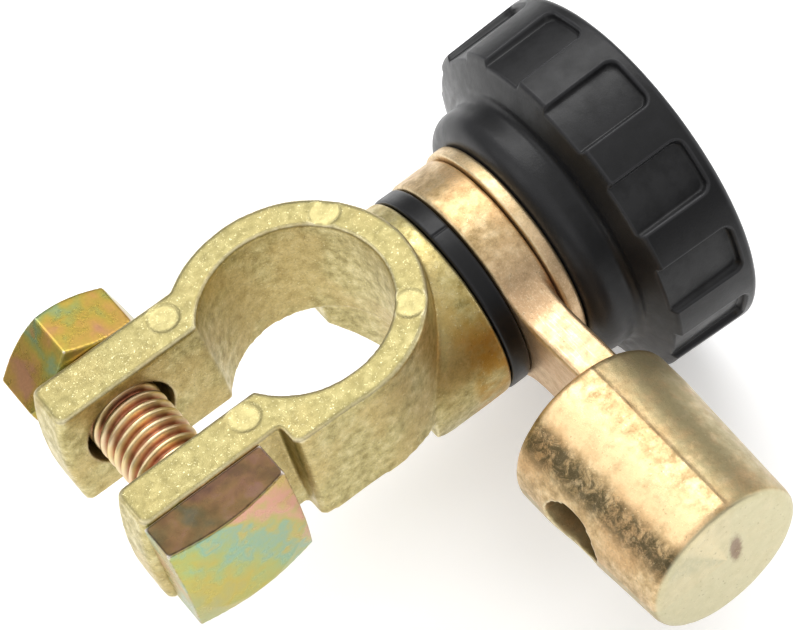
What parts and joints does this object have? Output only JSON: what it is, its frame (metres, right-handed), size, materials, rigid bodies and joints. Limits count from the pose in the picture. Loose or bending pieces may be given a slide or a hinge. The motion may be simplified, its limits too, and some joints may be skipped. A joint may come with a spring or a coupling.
{
  "type": "battery switch",
  "caption": "Post-clamp battery disconnect switch: split clamp with cross bolt, insulated swivel arm carrying a cable post, and a fluted screw-down contact knob.",
  "frame": {"origin": "where the axis of the post bore meets the axis of the knob, level with the narrow face of the clamp ring", "axes": "+Z along the post bore towards its wide end, +X along the knob axis towards the knob, +Y towards the clamp nut; the cable post points along -Y"},
  "size_m": [0.0639, 0.0604, 0.0386],
  "materials": {
    "cast_clamp": "yellow-chromated casting, fine grain, satin",
    "cast_arm": "yellow-chromated casting, satin",
    "bolt_zinc": "iridescent yellow zinc plate",
    "nut_zinc": "iridescent yellow zinc plate",
    "insulator": "black moulded nylon",
    "spring_steel": "phosphated spring steel",
    "contact_brass": "turned brass, satin",
    "knob_plastic": "black moulded plastic, semi-matte"
  },
  "bodies": {
    "clamp": {"clamp_body": "cast_clamp", "contact_stud": "contact_brass", "insulator_washer": "insulator", "insulator_bush": "insulator", "retaining_ring": "spring_steel"},
    "arm": {"cable_arm": "cast_arm"},
    "contact_carriage": {"contact_disc": "contact_brass"},
    "knob": {"knob_body": "knob_plastic", "knob_insert": "contact_brass"},
    "clamp_bolt": {"clamp_bolt": "bolt_zinc"},
    "clamp_nut": {"clamp_nut": "nut_zinc"}
  },
  "joints": [
    {"name": "arm_swivel", "type": "hinge", "parent": "clamp", "child": "arm", "pos_m": [0.0195, 0, 0], "axis": [1, 0, 0], "continuous": true},
    {"name": "contact_lift", "type": "slide", "parent": "clamp", "child": "contact_carriage", "axis": [1, 0, 0], "range_m": [0, 0.00301]},
    {"name": "knob_turn", "type": "hinge", "parent": "contact_carriage", "child": "knob", "pos_m": [0.0236, 0, 0], "axis": [1, 0, 0], "range_deg": [0, 720]},
    {"name": "nut_turn", "type": "hinge", "parent": "clamp", "child": "clamp_nut", "pos_m": [-0.0175, 0.0134, 0.00676], "axis": [0, 1, 0], "range_deg": [0, 1080]},
    {"name": "bolt_back_out", "type": "slide", "parent": "clamp", "child": "clamp_bolt", "axis": [0, -1, 0], "range_m": [0, 0.00376]}
  ],
  "couplings": [
    {"joint": "contact_lift", "follows": "knob_turn", "m_per_rad": 0.00023873},
    {"joint": "bolt_back_out", "follows": "nut_turn", "m_per_rad": 0.00019894}
  ]
}
